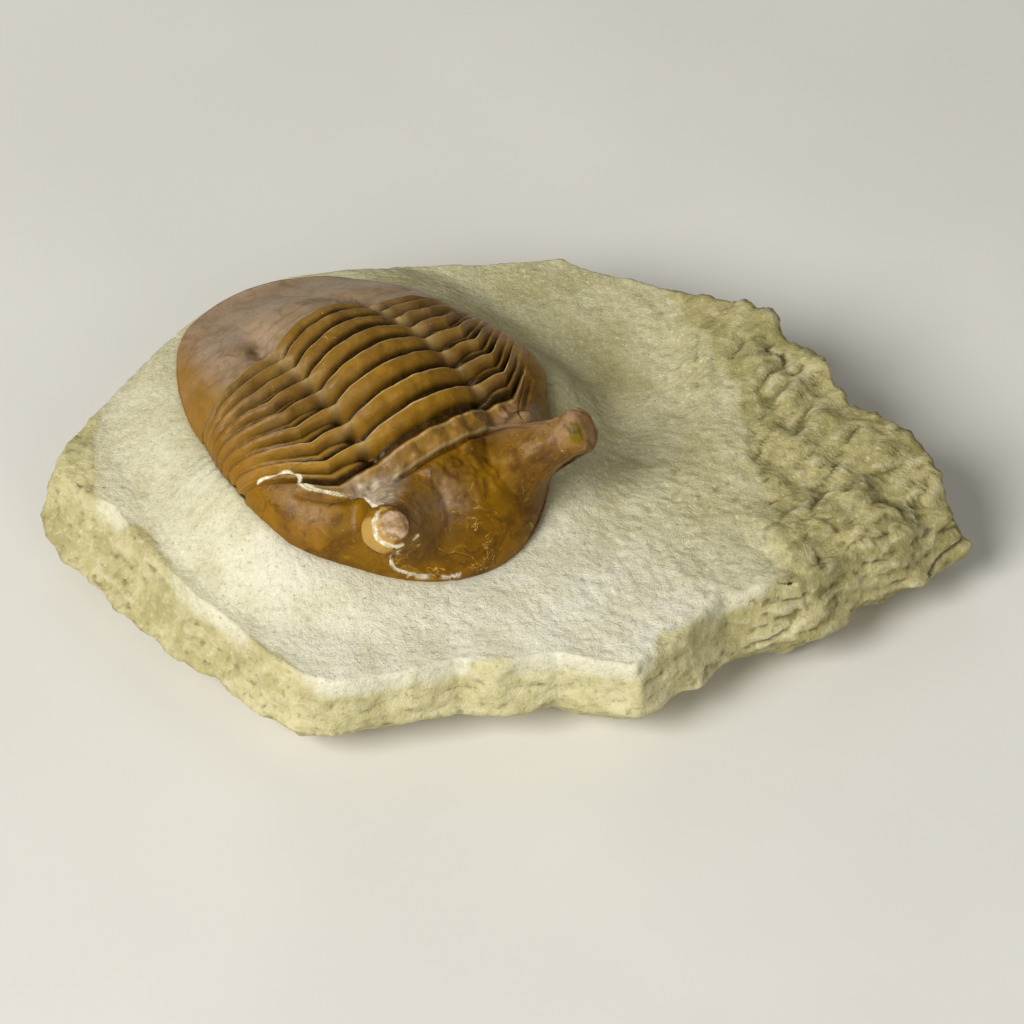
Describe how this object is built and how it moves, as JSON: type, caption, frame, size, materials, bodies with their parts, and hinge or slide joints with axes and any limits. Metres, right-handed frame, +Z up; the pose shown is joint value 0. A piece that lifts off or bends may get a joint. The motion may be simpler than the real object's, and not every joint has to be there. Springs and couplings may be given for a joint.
{
  "type": "trilobite fossil",
  "caption": "Arched stalk-eyed trilobite with a ringed thorax, freed from the top of a loose, rough-edged slab of pale limestone with a flat underside.",
  "frame": {"origin": "middle of the underside of the whole object's box, on the surface it rests on", "axes": "+X along the slab's length, +Y across it to the back, +Z up; the animal lies on the left half and faces forward and to the right, about 54 degrees below +X"},
  "size_m": [0.1268, 0.0852, 0.0352],
  "materials": {
    "stone": "pale cream-white limestone, matt and granular where it was cleared, olive-tan and layered on its broken sides",
    "fossil_head": "dark honey-amber calcite, waxy and a little translucent, with fine pale cracks",
    "fossil_thorax": "amber to orange-brown calcite, waxy, with pale tan crests on its rings",
    "fossil_tail": "grey-brown calcite, smooth and waxy, amber at the lower edge"
  },
  "bodies": {
    "root": {"matrix": "stone", "cranidium": "fossil_head", "free_cheek_left": "fossil_head", "free_cheek_right": "fossil_head", "thorax_segment_1": "fossil_thorax", "thorax_segment_2": "fossil_thorax", "thorax_segment_3": "fossil_thorax", "thorax_segment_4": "fossil_thorax", "thorax_segment_5": "fossil_thorax", "thorax_segment_6": "fossil_thorax", "thorax_segment_7": "fossil_thorax", "thorax_segment_8": "fossil_thorax", "pygidium": "fossil_tail"}
  },
  "joints": []
}
